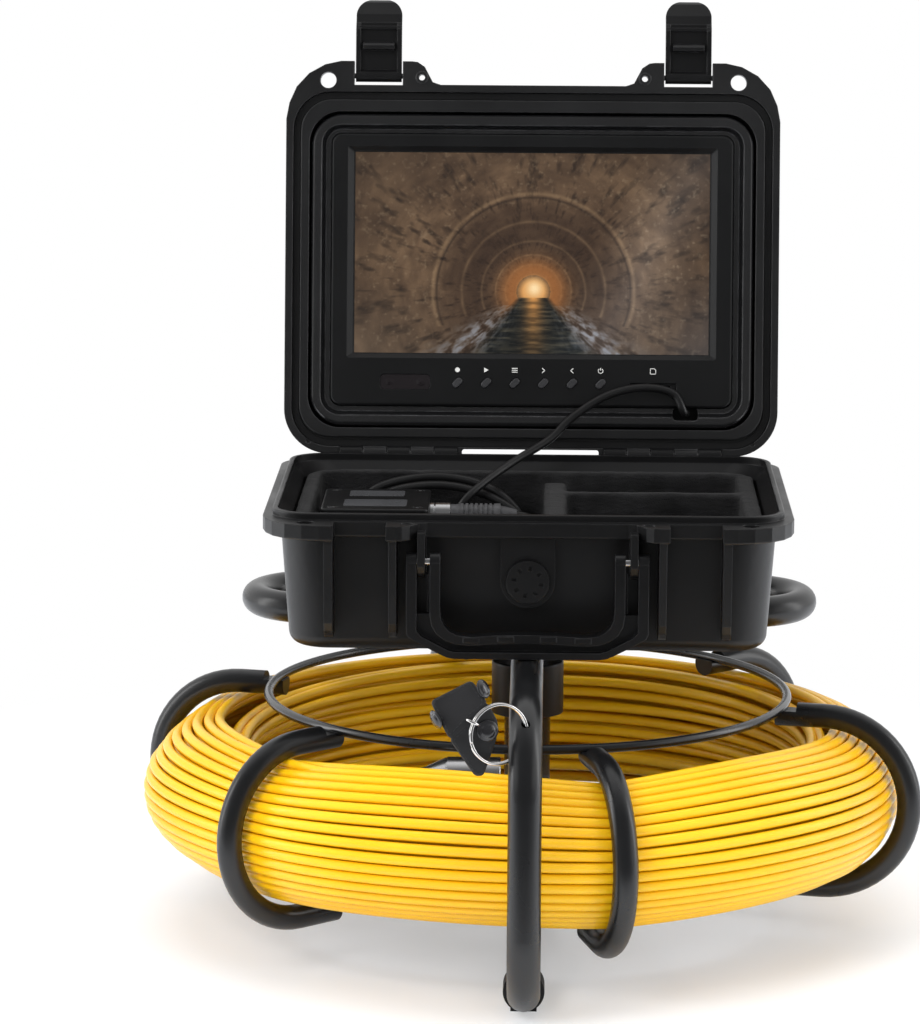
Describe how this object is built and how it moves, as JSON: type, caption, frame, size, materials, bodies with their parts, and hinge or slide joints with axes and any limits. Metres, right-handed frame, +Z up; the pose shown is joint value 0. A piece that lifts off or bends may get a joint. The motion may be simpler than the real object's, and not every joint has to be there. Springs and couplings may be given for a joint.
{
  "type": "pipe inspection camera",
  "caption": "Pipe inspection camera: push cable coiled in a revolving hoop basket on a bent-tube stand, with a camera head and a hinged waterproof case holding a monitor.",
  "frame": {"origin": "on the floor, on the axis the cable basket turns about", "axes": "+Z up along the basket's axle; -Y towards the user, in front of the front upright; +Y towards the lid's hinge; +X to the user's right"},
  "size_m": [0.4218, 0.449, 0.4898],
  "materials": {
    "tube_black": "satin",
    "rod_black": "satin",
    "case_black": "textured",
    "handle_black": "textured",
    "trim_black": "gloss",
    "bezel_black": "satin",
    "button_black": "satin",
    "screen_glass": "gloss",
    "cable_yellow": "satin",
    "rubber_black": "matte",
    "foam_black": "matte",
    "steel": "brushed",
    "chrome": "polished",
    "circuit_green": "satin",
    "cell_blue": "satin",
    "lead_black": "satin",
    "nylon_white": "satin",
    "brass": "polished",
    "lens_glass": "gloss",
    "leather_black": "matte",
    "ir_red": "gloss"
  },
  "bodies": {
    "stand": {"stand_tube": "tube_black", "carry_loop": "tube_black", "base_loop": "tube_black", "stand_feet": "rubber_black", "axle_rod": "steel", "axle_nuts": "steel", "slip_ring_housing": "case_black", "slip_ring_brushes": "brass", "case_mount_ears": "tube_black", "case_bolts": "steel", "case_nuts": "steel", "case_base": "case_black", "hinge_pins": "steel", "handle_pins": "steel", "pressure_valve": "case_black", "foam_insert": "foam_black", "battery_box_shell": "case_black", "battery_box_cover": "case_black", "battery_cells": "cell_blue", "battery_board": "circuit_green", "aviation_socket": "steel", "aviation_plug": "steel", "battery_jacks": "brass", "monitor_cable": "lead_black"},
    "basket": {"upper_ring": "rod_black", "lower_ring": "rod_black", "hoop_arms": "tube_black", "basket_spokes": "tube_black", "hub_tube": "rod_black", "hub_bushes": "nylon_white", "slip_ring_rotor": "brass", "push_cable": "cable_yellow", "camera_housing": "steel", "camera_window": "lens_glass", "camera_led_ring": "circuit_green", "camera_sensor": "button_black", "camera_strain_relief": "rubber_black"},
    "lid": {"case_lid": "case_black", "lid_seal": "rubber_black", "latch_pins": "steel", "monitor_surround": "trim_black", "monitor_bezel": "bezel_black", "lcd_panel": "screen_glass", "monitor_board": "circuit_green", "monitor_back": "case_black", "ir_window": "ir_red", "card_slot": "bezel_black"},
    "latch_l": {"latch_left": "case_black"},
    "latch_r": {"latch_right": "case_black"},
    "handle": {"case_handle": "handle_black"},
    "knob": {"dimmer_knob": "handle_black"},
    "switch": {"power_switch": "handle_black"},
    "keeper_ring_body": {"keeper_ring": "chrome"},
    "keeper_strap_body": {"keeper_strap": "leather_black"},
    "button_record_body": {"button_record": "button_black"},
    "button_play_body": {"button_play": "button_black"},
    "button_menu_body": {"button_menu": "button_black"},
    "button_right_body": {"button_right": "button_black"},
    "button_left_body": {"button_left": "button_black"},
    "button_power_body": {"button_power": "button_black"}
  },
  "joints": [
    {"name": "basket_spin", "type": "hinge", "parent": "stand", "child": "basket", "pos_m": [0, 0, 0.08], "axis": [0, 0, 1], "continuous": true},
    {"name": "lid_hinge", "type": "hinge", "parent": "stand", "child": "lid", "pos_m": [0, 0.10375, 0.2387], "axis": [1, 0, 0], "range_deg": [-6, 99], "deforming": ["monitor_cable"]},
    {"name": "latch_left_hinge", "type": "hinge", "parent": "lid", "child": "latch_l", "pos_m": [0, 0.13977, 0.44825], "axis": [1, 0, 0], "range_deg": [-15, 90]},
    {"name": "latch_right_hinge", "type": "hinge", "parent": "lid", "child": "latch_r", "pos_m": [0, 0.13977, 0.44825], "axis": [1, 0, 0], "range_deg": [-15, 90]},
    {"name": "handle_hinge", "type": "hinge", "parent": "stand", "child": "handle", "pos_m": [0, -0.1095, 0.2171], "axis": [-1, 0, 0], "range_deg": [0, 110]},
    {"name": "dimmer_turn", "type": "hinge", "parent": "stand", "child": "knob", "pos_m": [-0.054, -0.0075, 0.203], "axis": [1, 0, 0], "range_deg": [-135, 135]},
    {"name": "switch_slide", "type": "slide", "parent": "stand", "child": "switch", "axis": [0, 1, 0], "range_m": [0, 0.003]},
    {"name": "keeper_ring_turn", "type": "hinge", "parent": "stand", "child": "keeper_ring_body", "pos_m": [-0.0132, -0.2245, 0.152], "axis": [0.4014, -0.9158, 0.012], "range_deg": [-18, 18]},
    {"name": "keeper_strap_swing", "type": "hinge", "parent": "keeper_ring_body", "child": "keeper_strap_body", "pos_m": [-0.0275, -0.2355, 0.159], "axis": [0.4014, -0.9158, 0.012], "range_deg": [-8, 8]},
    {"name": "button_record_press", "type": "slide", "parent": "lid", "child": "button_record_body", "axis": [0, 0.9877, -0.1564], "range_m": [0, 0.0012]},
    {"name": "button_play_press", "type": "slide", "parent": "lid", "child": "button_play_body", "axis": [0, 0.9877, -0.1564], "range_m": [0, 0.0012]},
    {"name": "button_menu_press", "type": "slide", "parent": "lid", "child": "button_menu_body", "axis": [0, 0.9877, -0.1564], "range_m": [0, 0.0012]},
    {"name": "button_right_press", "type": "slide", "parent": "lid", "child": "button_right_body", "axis": [0, 0.9877, -0.1564], "range_m": [0, 0.0012]},
    {"name": "button_left_press", "type": "slide", "parent": "lid", "child": "button_left_body", "axis": [0, 0.9877, -0.1564], "range_m": [0, 0.0012]},
    {"name": "button_power_press", "type": "slide", "parent": "lid", "child": "button_power_body", "axis": [0, 0.9877, -0.1564], "range_m": [0, 0.0012]}
  ]
}
